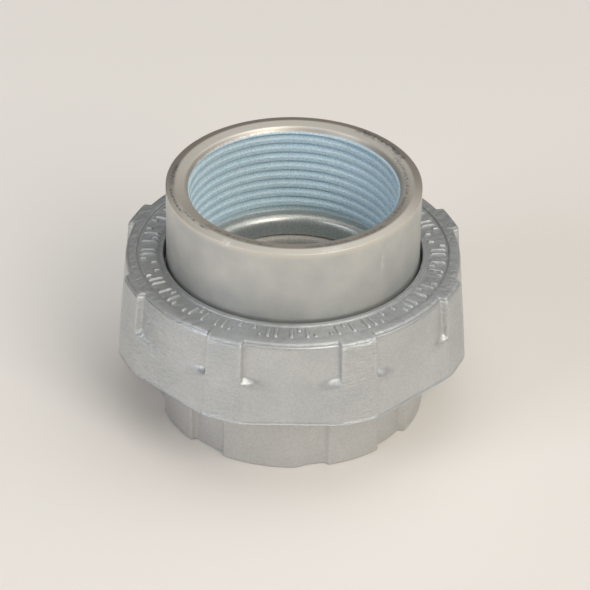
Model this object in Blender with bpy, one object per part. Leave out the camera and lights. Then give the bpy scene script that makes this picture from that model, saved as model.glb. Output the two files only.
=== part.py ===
# Rigid conduit union, trade size 1-1/2, in three castings.
#
# Two female hubs meet at a coned seat. Each hub takes a conduit end in a tapered socket. A ring nut
# turns on the lower hub's straight thread, and its lip draws the upper hub's flange down on the seat.
# The common axis is +Z, and the union stands on the lower hub's end face at z = 0.
#
# The threads are real helices: the straight ones of the nut and the lower hub, which mesh, and the
# sockets' taper threads for the conduit.

import math

import bmesh
import bpy

MM = 0.001

# Clearances between pieces.
FACE_GAP = 0.3 * MM
NUT_HOLE_CLEARANCE = 0.65 * MM
FLANGE_CLEARANCE = 0.6 * MM
THREAD_RADIAL_GAP = 0.3 * MM
THREAD_CREST_GAP = 0.3 * MM

# Conduit sockets, the same in both hubs. The radius is that of the thread's crests at the mouth, and
# the taper is 1 in 16 on the diameter. The bore is first left smaller, and the thread is cut from that
# stock. The thread has 11.5 turns to the inch.
SOCKET_CREST_RADIUS = 22.1 * MM
SOCKET_TAPER = 1 / 32
SOCKET_STOCK = 0.5 * MM
SOCKET_FLARE = 1.05 * MM
BORE_OVERSHOOT = 1.0 * MM
SOCKET_LEAD = 1.5 * MM
CONDUIT_PITCH = 25.4 * MM / 11.5
CONDUIT_DEPTH = 1.35 * MM
SOCKET_DEPTH = 19.35 * MM
UNDERCUT_STEP = 1.0 * MM
UNDERCUT_LENGTH = 1.9 * MM
SHOULDER_ROUND = 1.9 * MM

# Upper hub: a plain collar round its socket, with a flange at its foot.
UPPER_WALL = 4.85 * MM
UPPER_THROAT_STEP = 2.3 * MM
UPPER_THROAT_LENGTH = 2.65 * MM
RIM_CHAMFER_WIDTH = 1.5 * MM
RIM_CHAMFER_DROP = 0.22 * MM
FLANGE_WIDTH = 2.6 * MM
FLANGE_THICKNESS = 2.4 * MM
FLANGE_EDGE = 0.4 * MM

# Coned seat at 45 degrees. The land is the flat inside the cone, and the step is the cone's height.
SEAT_LAND = 4.3 * MM
SEAT_STEP = 1.8 * MM

# Lower hub. Its grip has wide and narrow shallow recesses, each kind four times round.
LOWER_WALL = 6.2 * MM
LOWER_THROAT_STEP = 3.1 * MM
LOWER_THROAT_LENGTH = 4.45 * MM
THROAT_EDGE_ROUND = 1.1 * MM
GRIP_EDGE = 0.4 * MM
GRIP_BELOW_NUT = 1.5 * MM
RECESS_REPEATS = 4
WIDE_RECESS = {"middle": -39.5, "width": 19.0, "rise_in": 1.5, "rise_out": 1.5, "depth": 1.3 * MM}
NARROW_RECESS = {"middle": 9.0, "width": 16.0, "rise_in": 8.0, "rise_out": 1.5, "depth": 1.0 * MM}

# Straight thread between the lower hub and the nut: 12 turns to the inch, with flanks at 30 degrees
# to the radius. The hub's crests are an eighth of the pitch wide and its roots a quarter.
THREAD_PITCH = 25.4 * MM / 12
THREAD_FLANK = math.radians(30)
THREAD_BELOW_NUT = 0.7 * MM
THREAD_END_DROP = 0.3 * MM
NUT_THREAD_RELIEF = 2.4 * MM
NUT_MOUTH_CHAMFER = 1.6 * MM

# Ring nut. Eight wide flats lean in with the casting draft, with a narrow rib between each two.
# Pockets from the top down cut the flats back to a cone that touches each flat along its middle.
NUT_WALL = 5.7 * MM
NUT_DRAFT = 1.45 * MM
NUT_SKIRT_LENGTH = 12.1 * MM
NUT_LIP_THICKNESS = 4.25 * MM
FLAT_COUNT = 8
FLAT_HALF_ANGLE = 16.5
POCKET_DEPTH = 8.55 * MM
POCKET_LEDGE_SLOPE = 0.9 * MM
POCKET_SIDE_INSET = 0.5
POCKET_SIDE_SPREAD = 0.8
NUT_EDGE = 0.7 * MM
NUT_HOLE_EDGE = 0.3 * MM

# Marks on the nut's top: plain raised bars in a shallow ring-shaped recess.
MARK_BAND_LIP = 0.9 * MM
MARK_BAND_WIDTH = 4.8 * MM
MARK_BAND_DEPTH = 0.35 * MM
MARK_BELOW_TOP = 0.05 * MM
MARK_MARGIN = 0.45 * MM
MARK_WIDTH = 1.0 * MM
MARK_COUNT = 24
MARK_ROOT = 0.6 * MM

# Facets.
ROUND_SEGMENTS = 48
THREAD_SEGMENTS = 30
CONDUIT_SEGMENTS = 24
CURVE_STEPS = 3
GRIP_COLUMN_STEP = 7.5

# Radii that follow, from the socket outwards.
SOCKET_END_RADIUS = SOCKET_CREST_RADIUS - SOCKET_TAPER * SOCKET_DEPTH
UNDERCUT_RADIUS = SOCKET_CREST_RADIUS + UNDERCUT_STEP
UPPER_THROAT_RADIUS = SOCKET_CREST_RADIUS - UPPER_THROAT_STEP
LOWER_THROAT_RADIUS = SOCKET_CREST_RADIUS - LOWER_THROAT_STEP
SEAT_INNER_RADIUS = UPPER_THROAT_RADIUS + SEAT_LAND
GRIP_RADIUS = SOCKET_CREST_RADIUS + LOWER_WALL
COLLAR_RADIUS = SOCKET_CREST_RADIUS + UPPER_WALL
NUT_HOLE_RADIUS = COLLAR_RADIUS + NUT_HOLE_CLEARANCE
FLANGE_RADIUS = COLLAR_RADIUS + FLANGE_WIDTH
NUT_CREST_RADIUS = FLANGE_RADIUS + FLANGE_CLEARANCE
HUB_THREAD_ROOT = NUT_CREST_RADIUS - THREAD_RADIAL_GAP
HUB_CORE_RADIUS = HUB_THREAD_ROOT - 2 * FACE_GAP
HUB_CREST_WIDTH = THREAD_PITCH / 8
HUB_THREAD_DEPTH = 0.5 * (THREAD_PITCH - THREAD_PITCH / 4 - HUB_CREST_WIDTH) / math.tan(THREAD_FLANK)
HUB_THREAD_RADIUS = HUB_THREAD_ROOT + HUB_THREAD_DEPTH
NUT_GROOVE_RADIUS = HUB_THREAD_RADIUS + THREAD_RADIAL_GAP
RELIEF_RADIUS = NUT_GROOVE_RADIUS + THREAD_RADIAL_GAP
FLAT_RADIUS_BOTTOM = NUT_GROOVE_RADIUS + NUT_WALL
FLAT_RADIUS_TOP = FLAT_RADIUS_BOTTOM - NUT_DRAFT
MARK_BAND_INNER = NUT_HOLE_RADIUS + MARK_BAND_LIP
MARK_BAND_OUTER = MARK_BAND_INNER + MARK_BAND_WIDTH

# Heights that follow, from the lower hub's end face upwards.
SHOULDER_DEPTH = SOCKET_DEPTH + UNDERCUT_LENGTH
SEAT_FLOOR = SHOULDER_DEPTH + SHOULDER_ROUND + LOWER_THROAT_LENGTH
JOINT_LINE = SEAT_FLOOR + FACE_GAP
FLANGE_UNDERSIDE = JOINT_LINE + SEAT_STEP
FLANGE_TOP = FLANGE_UNDERSIDE + FLANGE_THICKNESS
HUB_TOP = FLANGE_UNDERSIDE - FACE_GAP
TOTAL_HEIGHT = JOINT_LINE + UPPER_THROAT_LENGTH + SHOULDER_ROUND + SHOULDER_DEPTH
LIP_UNDERSIDE = FLANGE_TOP + FACE_GAP
NUT_TOP = LIP_UNDERSIDE + NUT_LIP_THICKNESS
NUT_BOTTOM = HUB_TOP - NUT_SKIRT_LENGTH
LEDGE_HEIGHT = NUT_TOP - POCKET_DEPTH
GRIP_HEIGHT = NUT_BOTTOM - GRIP_BELOW_NUT
THREAD_BOTTOM = NUT_BOTTOM - THREAD_BELOW_NUT

# The thread's helix ends just under the nut's lip and starts more than a turn below the hub's thread.
THREAD_TURNS = math.ceil((LIP_UNDERSIDE - THREAD_BOTTOM) / THREAD_PITCH) + 1
THREAD_PHASE_HEIGHT = LIP_UNDERSIDE - FACE_GAP - (THREAD_TURNS + 0.5) * THREAD_PITCH


def clear_scene():
    """Remove every object that the file opens with."""
    for item in list(bpy.data.objects):
        bpy.data.objects.remove(item, do_unlink=True)


def metal(name, colour, roughness):
    """A plain metal of one colour."""
    material = bpy.data.materials.new(name)
    material.use_nodes = True
    shader = material.node_tree.nodes["Principled BSDF"]
    shader.inputs["Base Color"].default_value = (*colour, 1.0)
    shader.inputs["Metallic"].default_value = 0.85
    shader.inputs["Roughness"].default_value = roughness
    return material


def around(radius, azimuth, height):
    """A point at an azimuth in degrees, counted from -Y towards +X."""
    angle = math.radians(azimuth)
    return (radius * math.sin(angle), -radius * math.cos(angle), height)


def even_azimuths(count):
    """Even azimuths, each half a step past a multiple, so that no column meets one of a thread's."""
    return [360 * (index + 0.5) / count for index in range(count)]


def arc(centre, size, start, end):
    """Points (radius, height) on an arc of a turned profile, its first point left out."""
    points = []
    for step in range(1, CURVE_STEPS + 1):
        angle = math.radians(start + (end - start) * step / CURVE_STEPS)
        points.append((centre[0] + size * math.cos(angle), centre[1] + size * math.sin(angle)))
    return points


def add_object(name, mesh_maker, material=None):
    """Turn a finished bmesh into a named object with clean, outward faces."""
    bmesh.ops.recalc_face_normals(mesh_maker, faces=mesh_maker.faces)
    mesh = bpy.data.meshes.new(name)
    mesh_maker.to_mesh(mesh)
    mesh_maker.free()
    item = bpy.data.objects.new(name, mesh)
    bpy.context.collection.objects.link(item)
    if material:
        mesh.materials.append(material)
    return item


def ring_body(name, rings, material=None):
    """A body like a bent tube: each ring of points is joined to the next, and the last to the first."""
    maker = bmesh.new()
    loops = [[maker.verts.new(point) for point in ring] for ring in rings]
    for index, loop in enumerate(loops):
        following = loops[(index + 1) % len(loops)]
        for side in range(len(loop)):
            other = (side + 1) % len(loop)
            maker.faces.new((loop[side], loop[other], following[other], following[side]))
    return add_object(name, maker, material)


def capped_body(name, rings, material=None):
    """A body like a stack of discs: each ring of points is joined to the next, and both ends are closed."""
    maker = bmesh.new()
    loops = [[maker.verts.new(point) for point in ring] for ring in rings]
    for loop, following in zip(loops, loops[1:]):
        for side in range(len(loop)):
            other = (side + 1) % len(loop)
            maker.faces.new((loop[side], loop[other], following[other], following[side]))
    maker.faces.new(loops[0])
    maker.faces.new(loops[-1])
    return add_object(name, maker, material)


def turned_rings(profile, azimuths):
    """Rings for the points (radius, height) of a turned profile."""
    return [[around(radius, azimuth, height) for azimuth in azimuths] for radius, height in profile]


def socket_profile(face, direction, throat_radius):
    """Socket wall from its end face inward to the throat, for a face at a height.

    The direction is +1 where the socket runs up from its face, and -1 where it runs down.
    """
    def at(radius, depth):
        return (radius, face + direction * depth)

    stock_radius = SOCKET_END_RADIUS - SOCKET_STOCK
    points = [
        at(SOCKET_CREST_RADIUS + SOCKET_FLARE, 0),
        at(SOCKET_CREST_RADIUS, SOCKET_LEAD),
        at(stock_radius, SOCKET_LEAD),
        at(stock_radius, SOCKET_DEPTH),
        at(UNDERCUT_RADIUS, SOCKET_DEPTH + 0.5 * (UNDERCUT_RADIUS - SOCKET_END_RADIUS)),
        at(UNDERCUT_RADIUS, SHOULDER_DEPTH),
        at(throat_radius + SHOULDER_ROUND, SHOULDER_DEPTH),
    ]
    centre = (throat_radius + SHOULDER_ROUND, SHOULDER_DEPTH + SHOULDER_ROUND)
    for radius, depth in arc(centre, SHOULDER_ROUND, 270, 180):
        points.append(at(radius, depth))
    return points


def upper_hub(material):
    """Smooth turned hub with the flange that the nut's lip holds down."""
    rim_inner = COLLAR_RADIUS - RIM_CHAMFER_WIDTH
    outside = [
        (UPPER_THROAT_RADIUS, JOINT_LINE),
        (SEAT_INNER_RADIUS, JOINT_LINE),
        (SEAT_INNER_RADIUS + SEAT_STEP, FLANGE_UNDERSIDE),
        (FLANGE_RADIUS - FLANGE_EDGE, FLANGE_UNDERSIDE),
        (FLANGE_RADIUS, FLANGE_UNDERSIDE + FLANGE_EDGE),
        (FLANGE_RADIUS, FLANGE_TOP - FLANGE_EDGE),
        (FLANGE_RADIUS - FLANGE_EDGE, FLANGE_TOP),
        (COLLAR_RADIUS, FLANGE_TOP),
        (COLLAR_RADIUS, TOTAL_HEIGHT - 2 * RIM_CHAMFER_DROP),
        (COLLAR_RADIUS - 0.5 * RIM_CHAMFER_DROP, TOTAL_HEIGHT - RIM_CHAMFER_DROP),
        (rim_inner, TOTAL_HEIGHT),
    ]
    inside = socket_profile(TOTAL_HEIGHT, -1, UPPER_THROAT_RADIUS)
    rings = turned_rings(outside + inside, even_azimuths(ROUND_SEGMENTS))
    hub = ring_body("upper_hub", rings, material)
    combine(hub, socket_thread("upper_socket", TOTAL_HEIGHT, -1), "DIFFERENCE")
    return hub


def recess_share(azimuth, recess):
    """How deep a recess is at an azimuth: 0 outside it, 1 on its floor, straight slopes between."""
    period = 360 / RECESS_REPEATS
    from_middle = (azimuth - recess["middle"] + 0.5 * period) % period - 0.5 * period
    inward = (0.5 * recess["width"] + from_middle) / recess["rise_in"]
    outward = (0.5 * recess["width"] - from_middle) / recess["rise_out"]
    return max(0.0, min(1.0, inward, outward))


def grip_azimuths():
    """Azimuths round the grip: every recess's corners, and even columns that keep clear of them."""
    period = 360 / RECESS_REPEATS
    corners = []
    for recess in (WIDE_RECESS, NARROW_RECESS):
        start = recess["middle"] - 0.5 * recess["width"]
        end = recess["middle"] + 0.5 * recess["width"]
        corners += [start, start + recess["rise_in"], end - recess["rise_out"], end]
    corners = [corner % period for corner in corners]
    quarter = list(corners)
    for index in range(round(period / GRIP_COLUMN_STEP)):
        column = index * GRIP_COLUMN_STEP
        distances = [abs((column - corner + 0.5 * period) % period - 0.5 * period) for corner in corners]
        if min(distances) > 0.3 * GRIP_COLUMN_STEP:
            quarter.append(column)
    return [azimuth + period * turn for turn in range(RECESS_REPEATS) for azimuth in sorted(quarter)]


def grip_radius(azimuth, outer_radius):
    """Outer radius of the grip at an azimuth, with the recesses taken off."""
    cuts = [recess["depth"] * recess_share(azimuth, recess) for recess in (WIDE_RECESS, NARROW_RECESS)]
    return outer_radius - sum(cuts)


def thread_rod(name, form, pitch, start, turns, segments, lean=0.0, lean_from=0.0):
    """A closed rod with a right-hand thread, one helical strip for each face of the thread form.

    The form is a list of (offset, radius) up the rod. Its zero offset passes through the start height
    at azimuth 0. On a taper thread the radius grows by the lean for each unit of height.
    """
    count = segments * turns
    maker = bmesh.new()
    columns = []
    for step in range(count + 1):
        turn = step / segments
        column = []
        for offset, radius in form:
            height = start + pitch * turn + offset
            reach = radius + lean * (height - lean_from)
            column.append(maker.verts.new(around(reach, 360 * turn, height)))
        columns.append(column)
    for step in range(count):
        here = columns[step]
        there = columns[step + 1]
        for row in range(len(form) - 1):
            maker.faces.new((here[row], there[row], there[row + 1], here[row + 1]))
    for step in range(count - segments):
        above = columns[step + segments][0]
        above_next = columns[step + segments + 1][0]
        maker.faces.new((columns[step][-1], columns[step + 1][-1], above_next, above))

    first_turn = [column[0] for column in columns[:segments + 1]]
    bottom_loop = first_turn + list(reversed(columns[0][1:]))
    last_turn = [column[-1] for column in columns[-segments - 1:]]
    top_loop = last_turn + list(reversed(columns[-1][:-1]))
    ends = (
        (bottom_loop, start - pitch),
        (top_loop, start + pitch * (turns + 1)),
    )
    for loop, height in ends:
        middle = maker.verts.new((0.0, 0.0, height))
        for index in range(len(loop)):
            maker.faces.new((loop[index], loop[(index + 1) % len(loop)], middle))
    return hide_tool(add_object(name, maker))


def straight_form(crest_radius, depth, crest_width):
    """Flat crest and two flanks, with the zero offset in the middle of the crest."""
    flank = depth * math.tan(THREAD_FLANK)
    half_crest = 0.5 * crest_width
    return [
        (-half_crest - flank, crest_radius - depth),
        (-half_crest, crest_radius),
        (half_crest, crest_radius),
        (half_crest + flank, crest_radius - depth),
    ]


def straight_rod(name, form):
    """The rod of the straight thread, at the height and phase that the hub and the nut share."""
    return thread_rod(name, form, THREAD_PITCH, THREAD_PHASE_HEIGHT, THREAD_TURNS, THREAD_SEGMENTS)


def socket_thread(name, face, direction):
    """The taper thread of a socket as a cutting tool: a sleeve with coned ends, trimmed to the helix.

    The direction is +1 where the socket runs up from its face, and -1 where it runs down. The middle
    of a crest of the socket passes through the face at azimuth 0.
    """
    half_groove = CONDUIT_DEPTH * math.tan(THREAD_FLANK)
    form = [
        (-half_groove, SOCKET_CREST_RADIUS),
        (0.0, SOCKET_CREST_RADIUS + CONDUIT_DEPTH),
        (half_groove, SOCKET_CREST_RADIUS),
    ]
    inside_turns = math.ceil(SOCKET_DEPTH / CONDUIT_PITCH)
    turns_below = 2 if direction > 0 else inside_turns + 2
    start = face + (0.5 - turns_below) * CONDUIT_PITCH
    lean = -direction * SOCKET_TAPER
    turns = inside_turns + 3
    rod = thread_rod(name + "_rod", form, CONDUIT_PITCH, start, turns, CONDUIT_SEGMENTS, lean, face)

    root_radius = SOCKET_CREST_RADIUS + CONDUIT_DEPTH
    mouth = 0.5 * SOCKET_LEAD
    end = SOCKET_DEPTH + 0.4 * UNDERCUT_LENGTH
    sleeve = [
        (SOCKET_END_RADIUS - 2 * SOCKET_STOCK, mouth),
        (SOCKET_CREST_RADIUS, mouth),
        (root_radius + FACE_GAP, mouth + CONDUIT_DEPTH + FACE_GAP),
        (root_radius + FACE_GAP, end - CONDUIT_DEPTH - FACE_GAP),
        (SOCKET_CREST_RADIUS, end),
        (SOCKET_END_RADIUS - 2 * SOCKET_STOCK, end),
    ]
    profile = [(radius, face + direction * depth) for radius, depth in sleeve]
    tool = ring_body(name + "_sleeve", turned_rings(profile, even_azimuths(CONDUIT_SEGMENTS)))
    combine(tool, rod, "INTERSECT")
    return hide_tool(tool)


def hide_tool(item):
    """A tool body that only cuts or adds to another one."""
    item.hide_render = True
    item.display_type = "WIRE"
    return item


def combine(item, operand, operation):
    """Boolean of one object with another, kept as a modifier."""
    step = item.modifiers.new(f"{operation.lower()} {operand.name}", "BOOLEAN")
    step.operation = operation
    step.solver = "EXACT"
    step.object = operand


def hub_thread():
    """The straight external thread: a chamfered sleeve trimmed to the rod's helix."""
    outer = HUB_THREAD_RADIUS + THREAD_RADIAL_GAP
    chamfer = outer - HUB_CORE_RADIUS
    inner = HUB_CORE_RADIUS - 2 * FACE_GAP
    top = HUB_TOP - THREAD_END_DROP
    profile = [
        (inner, THREAD_BOTTOM),
        (HUB_CORE_RADIUS + FACE_GAP, THREAD_BOTTOM),
        (outer, THREAD_BOTTOM + chamfer),
        (outer, top - chamfer),
        (HUB_CORE_RADIUS + FACE_GAP, top),
        (inner, top),
    ]
    sleeve = ring_body("hub_thread_sleeve", turned_rings(profile, even_azimuths(ROUND_SEGMENTS)))
    form = straight_form(HUB_THREAD_RADIUS, HUB_THREAD_DEPTH, HUB_CREST_WIDTH)
    rod = straight_rod("hub_thread_rod", form)
    combine(sleeve, rod, "INTERSECT")
    return hide_tool(sleeve)


def lower_bore():
    """The way through the lower hub as a cutting tool: seat at the top, throat, socket below."""
    seat_shift = SEAT_INNER_RADIUS - JOINT_LINE + FACE_GAP * math.sqrt(2)
    edge_centre = (LOWER_THROAT_RADIUS + THROAT_EDGE_ROUND, SEAT_FLOOR - THROAT_EDGE_ROUND)
    profile = [
        (HUB_TOP + seat_shift, HUB_TOP + BORE_OVERSHOOT),
        (HUB_TOP + seat_shift, HUB_TOP),
        (SEAT_FLOOR + seat_shift, SEAT_FLOOR),
        (LOWER_THROAT_RADIUS + THROAT_EDGE_ROUND, SEAT_FLOOR),
    ]
    profile += arc(edge_centre, THROAT_EDGE_ROUND, 90, 180)
    profile += list(reversed(socket_profile(0.0, 1, LOWER_THROAT_RADIUS)))
    profile.append((SOCKET_CREST_RADIUS + SOCKET_FLARE, -BORE_OVERSHOOT))
    return hide_tool(capped_body("lower_bore", turned_rings(profile, even_azimuths(ROUND_SEGMENTS))))


def lower_hub(material):
    """Cast hub with the recessed grip below and the straight thread above."""
    azimuths = grip_azimuths()
    grip = [
        (GRIP_RADIUS - GRIP_EDGE, 0.0),
        (GRIP_RADIUS, GRIP_EDGE),
        (GRIP_RADIUS, GRIP_HEIGHT),
    ]
    rings = []
    for radius, height in grip:
        rings.append([around(grip_radius(azimuth, radius), azimuth, height) for azimuth in azimuths])
    core = [
        (HUB_CORE_RADIUS, GRIP_HEIGHT + 2 * FACE_GAP),
        (HUB_CORE_RADIUS, HUB_TOP),
    ]
    rings += turned_rings(core, azimuths)
    hub = capped_body("lower_hub", rings, material)
    combine(hub, lower_bore(), "DIFFERENCE")
    combine(hub, hub_thread(), "UNION")
    combine(hub, socket_thread("lower_socket", 0.0, 1), "DIFFERENCE")
    return hub


def flat_radius(height):
    """Distance from the axis to the middle of a flat, less the higher it is."""
    share = (height - NUT_BOTTOM) / (NUT_TOP - NUT_BOTTOM)
    return FLAT_RADIUS_BOTTOM + share * (FLAT_RADIUS_TOP - FLAT_RADIUS_BOTTOM)


def nut_azimuths():
    """Azimuths round the nut: each flat's middle, curve points and two corners, and each rib's middle."""
    wall = FLAT_HALF_ANGLE - POCKET_SIDE_INSET
    corner = wall + POCKET_SIDE_SPREAD
    sector = 360 / FLAT_COUNT
    curve = 0.55 * wall
    local = (-corner, -wall, -curve, 0.0, curve, wall, corner, 0.5 * sector)
    return [sector * turn + azimuth for turn in range(FLAT_COUNT) for azimuth in local]


def nut_radius(azimuth, height, in_pocket):
    """Outer radius of the nut: flats and ribs, or the pockets' cone between the ribs."""
    sector = 360 / FLAT_COUNT
    from_flat = (azimuth + 0.5 * sector) % sector - 0.5 * sector
    middle = flat_radius(height)
    corner_radius = middle / math.cos(math.radians(FLAT_HALF_ANGLE))
    if abs(from_flat) > FLAT_HALF_ANGLE:
        half_rib = 0.5 * sector - FLAT_HALF_ANGLE
        from_rib = 0.5 * sector - abs(from_flat)
        return corner_radius * math.cos(math.radians(half_rib)) / math.cos(math.radians(from_rib))
    if in_pocket:
        return middle
    return middle / math.cos(math.radians(from_flat))


def nut_outside(azimuths):
    """Rings of the nut's outer side from the bottom up, with its small rounded edges."""
    rows = (
        (NUT_BOTTOM, NUT_EDGE, False),
        (NUT_BOTTOM + 0.3 * NUT_EDGE, 0.3 * NUT_EDGE, False),
        (NUT_BOTTOM + NUT_EDGE, 0.0, False),
        (LEDGE_HEIGHT - POCKET_LEDGE_SLOPE, 0.0, False),
        (LEDGE_HEIGHT, 0.0, True),
        (NUT_TOP - NUT_EDGE, 0.0, True),
        (NUT_TOP - 0.3 * NUT_EDGE, 0.3 * NUT_EDGE, True),
        (NUT_TOP, NUT_EDGE, True),
    )
    rings = []
    for height, inset, in_pocket in rows:
        ring = []
        for azimuth in azimuths:
            ring.append(around(nut_radius(azimuth, height, in_pocket) - inset, azimuth, height))
        rings.append(ring)
    return rings


def nut_marks():
    """Plain raised bars in the ring-shaped recess: long ones, and short ones near either edge."""
    inner = MARK_BAND_INNER + MARK_MARGIN
    outer = MARK_BAND_OUTER - MARK_MARGIN
    middle = 0.5 * (inner + outer)
    spans = ((inner, outer), (middle, outer), (inner, outer), (inner, middle))
    top = NUT_TOP - MARK_BELOW_TOP
    bottom = NUT_TOP - MARK_BAND_DEPTH - MARK_ROOT
    maker = bmesh.new()
    for index in range(MARK_COUNT):
        angle = math.radians(360 * index / MARK_COUNT)
        start, end = spans[index % len(spans)]
        corners = []
        for along, across in ((start, -1), (end, -1), (end, 1), (start, 1)):
            side = 0.5 * MARK_WIDTH * across
            x = along * math.sin(angle) + side * math.cos(angle)
            y = -along * math.cos(angle) + side * math.sin(angle)
            corners.append((x, y))
        low = [maker.verts.new((x, y, bottom)) for x, y in corners]
        high = [maker.verts.new((x, y, top)) for x, y in corners]
        maker.faces.new(low)
        maker.faces.new(high)
        for side in range(4):
            other = (side + 1) % 4
            maker.faces.new((low[side], low[other], high[other], high[side]))
    return hide_tool(add_object("nut_marks", maker))


def nut_bore():
    """The way through the nut as a cutting tool: hole, thread relief, thread crests and mouth."""
    relief_bottom = LIP_UNDERSIDE - NUT_THREAD_RELIEF
    relief_slope = RELIEF_RADIUS - NUT_CREST_RADIUS
    mouth_radius = NUT_CREST_RADIUS + NUT_MOUTH_CHAMFER
    profile = [
        (NUT_HOLE_RADIUS + NUT_HOLE_EDGE, NUT_TOP + BORE_OVERSHOOT),
        (NUT_HOLE_RADIUS + NUT_HOLE_EDGE, NUT_TOP),
        (NUT_HOLE_RADIUS, NUT_TOP - NUT_HOLE_EDGE),
        (NUT_HOLE_RADIUS, LIP_UNDERSIDE),
        (RELIEF_RADIUS, LIP_UNDERSIDE),
        (RELIEF_RADIUS, relief_bottom),
        (NUT_CREST_RADIUS, relief_bottom - relief_slope),
        (NUT_CREST_RADIUS, NUT_BOTTOM + NUT_MOUTH_CHAMFER),
        (mouth_radius, NUT_BOTTOM),
        (mouth_radius, NUT_BOTTOM - BORE_OVERSHOOT),
    ]
    return hide_tool(capped_body("nut_bore", turned_rings(profile, even_azimuths(ROUND_SEGMENTS))))


def mark_band():
    """The shallow ring-shaped recess in the nut's top as a cutting tool."""
    profile = [
        (MARK_BAND_INNER, NUT_TOP - MARK_BAND_DEPTH),
        (MARK_BAND_OUTER, NUT_TOP - MARK_BAND_DEPTH),
        (MARK_BAND_OUTER, NUT_TOP + BORE_OVERSHOOT),
        (MARK_BAND_INNER, NUT_TOP + BORE_OVERSHOOT),
    ]
    return hide_tool(ring_body("mark_band", turned_rings(profile, even_azimuths(ROUND_SEGMENTS))))


def union_nut(material):
    """Cast ring nut with its lip, straight internal thread and marked top."""
    nut = capped_body("union_nut", nut_outside(nut_azimuths()), material)
    combine(nut, nut_bore(), "DIFFERENCE")
    combine(nut, mark_band(), "DIFFERENCE")

    groove_width = HUB_CREST_WIDTH + THREAD_CREST_GAP
    crest_left = THREAD_PITCH - groove_width - 2 * HUB_THREAD_DEPTH * math.tan(THREAD_FLANK)
    past_crest = 0.25 * crest_left / math.tan(THREAD_FLANK)
    form = straight_form(NUT_GROOVE_RADIUS, HUB_THREAD_DEPTH + past_crest, groove_width)
    groove_rod = straight_rod("nut_thread_rod", form)
    combine(nut, groove_rod, "DIFFERENCE")
    combine(nut, nut_marks(), "UNION")
    return nut


def shade(item, angle):
    """Smooth shading, with edges sharper than the angle kept crisp."""
    item.data.shade_smooth()
    item.data.set_sharp_from_angle(angle=math.radians(angle))


def build():
    clear_scene()
    zinc_paint = metal("silver_grey_casting", (0.36, 0.37, 0.36), 0.5)
    turned_paint = metal("warm_grey_turned", (0.40, 0.39, 0.37), 0.42)
    pieces = (lower_hub(zinc_paint), union_nut(zinc_paint), upper_hub(turned_paint))
    for piece in pieces:
        shade(piece, 30)


build()
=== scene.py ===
# %% [markdown]
# # A rigid conduit union
#
# Rigid conduit is thick steel pipe for electric cables. Two lengths that can't be turned any more are
# joined with a union: each pipe screws into its own hub, and a ring nut draws the two hubs together on a
# coned seat. All three parts are malleable iron castings with a thin zinc skin. The hidden faces and the
# threads are machined after casting.
#
# The solid model, its joints and its materials' names are already given. This lesson starts from that
# frame and dresses it: every visible surface is worked out as an array of points, and every finish is a
# small network of nodes.

# %% Start from the imported frame
import math

import bpy
import numpy as np
from mathutils import Matrix, Vector


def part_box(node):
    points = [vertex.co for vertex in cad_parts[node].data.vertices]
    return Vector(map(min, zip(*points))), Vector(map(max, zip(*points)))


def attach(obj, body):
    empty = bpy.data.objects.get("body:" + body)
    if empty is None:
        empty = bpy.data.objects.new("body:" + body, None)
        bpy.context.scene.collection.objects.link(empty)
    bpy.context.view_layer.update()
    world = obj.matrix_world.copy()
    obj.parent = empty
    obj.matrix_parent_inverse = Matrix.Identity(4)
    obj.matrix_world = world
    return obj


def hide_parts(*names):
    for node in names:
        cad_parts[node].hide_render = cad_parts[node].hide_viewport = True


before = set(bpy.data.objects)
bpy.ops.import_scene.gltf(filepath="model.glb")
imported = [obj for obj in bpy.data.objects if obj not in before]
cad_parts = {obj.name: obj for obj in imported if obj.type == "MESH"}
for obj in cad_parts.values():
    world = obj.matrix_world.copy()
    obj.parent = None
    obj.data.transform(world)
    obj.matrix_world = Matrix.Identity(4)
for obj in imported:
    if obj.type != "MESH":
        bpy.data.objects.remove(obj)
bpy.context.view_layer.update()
print("nodes:", sorted(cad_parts))

# %% [markdown]
# ## Measures
#
# The frame is in metres and stands on z = 0. The outermost sizes are read from the nodes, so the dressed
# pieces can't outgrow them. The inner sizes are given in millimetres, because a maker's drawing would
# give them so. The seat is a cone of 45 degrees, so its rise is its width too, and the faces that meet
# on the real union stand a small gap apart here.

# %% Sizes
MM = 0.001

nut_low, nut_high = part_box("union_nut")
upper_low, upper_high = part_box("upper_hub")
lower_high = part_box("lower_hub")[1]

NUT_BOTTOM = nut_low.z / MM
NUT_TOP = nut_high.z / MM
UPPER_FOOT = upper_low.z / MM
RIM_TOP = upper_high.z / MM
HUB_TOP = lower_high.z / MM

COLLAR_RADIUS = 26.95
FLANGE_RADIUS = 29.55
FLANGE_TOP = 32.1
UPPER_THROAT = 19.8
LOWER_THROAT = 19.0
SEAT_INNER = 24.1
SEAT_RISE = 1.8
GRIP_RADIUS = 28.3
FACE_GAP = 0.3
print(f"nut from {NUT_BOTTOM:.2f} to {NUT_TOP:.2f} mm, rim at {RIM_TOP:.2f} mm")

# %% [markdown]
# ## A skin from two parameters
#
# All three castings are bent tubes: a closed outline in the plane of radius and height, carried once
# round the axis. So one function is enough for the mesh. It takes the radius and the height of every
# point as arrays with a row for each point of the outline and a column for each azimuth. Spinning a
# profile with Blender's Spin tool would also work, but then a thread, which shifts as it goes round,
# would need a second tool.

# %% Mesh from arrays
def grid_faces(rows, columns):
    """Corner numbers of the quads of a grid that closes on itself both ways."""
    row, column = np.meshgrid(np.arange(rows), np.arange(columns), indexing="ij")
    next_row = (row + 1) % rows
    next_column = (column + 1) % columns
    corners = (
        row * columns + column,
        row * columns + next_column,
        next_row * columns + next_column,
        next_row * columns + column,
    )
    return np.stack(corners, axis=-1).reshape(-1, 4)


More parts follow.
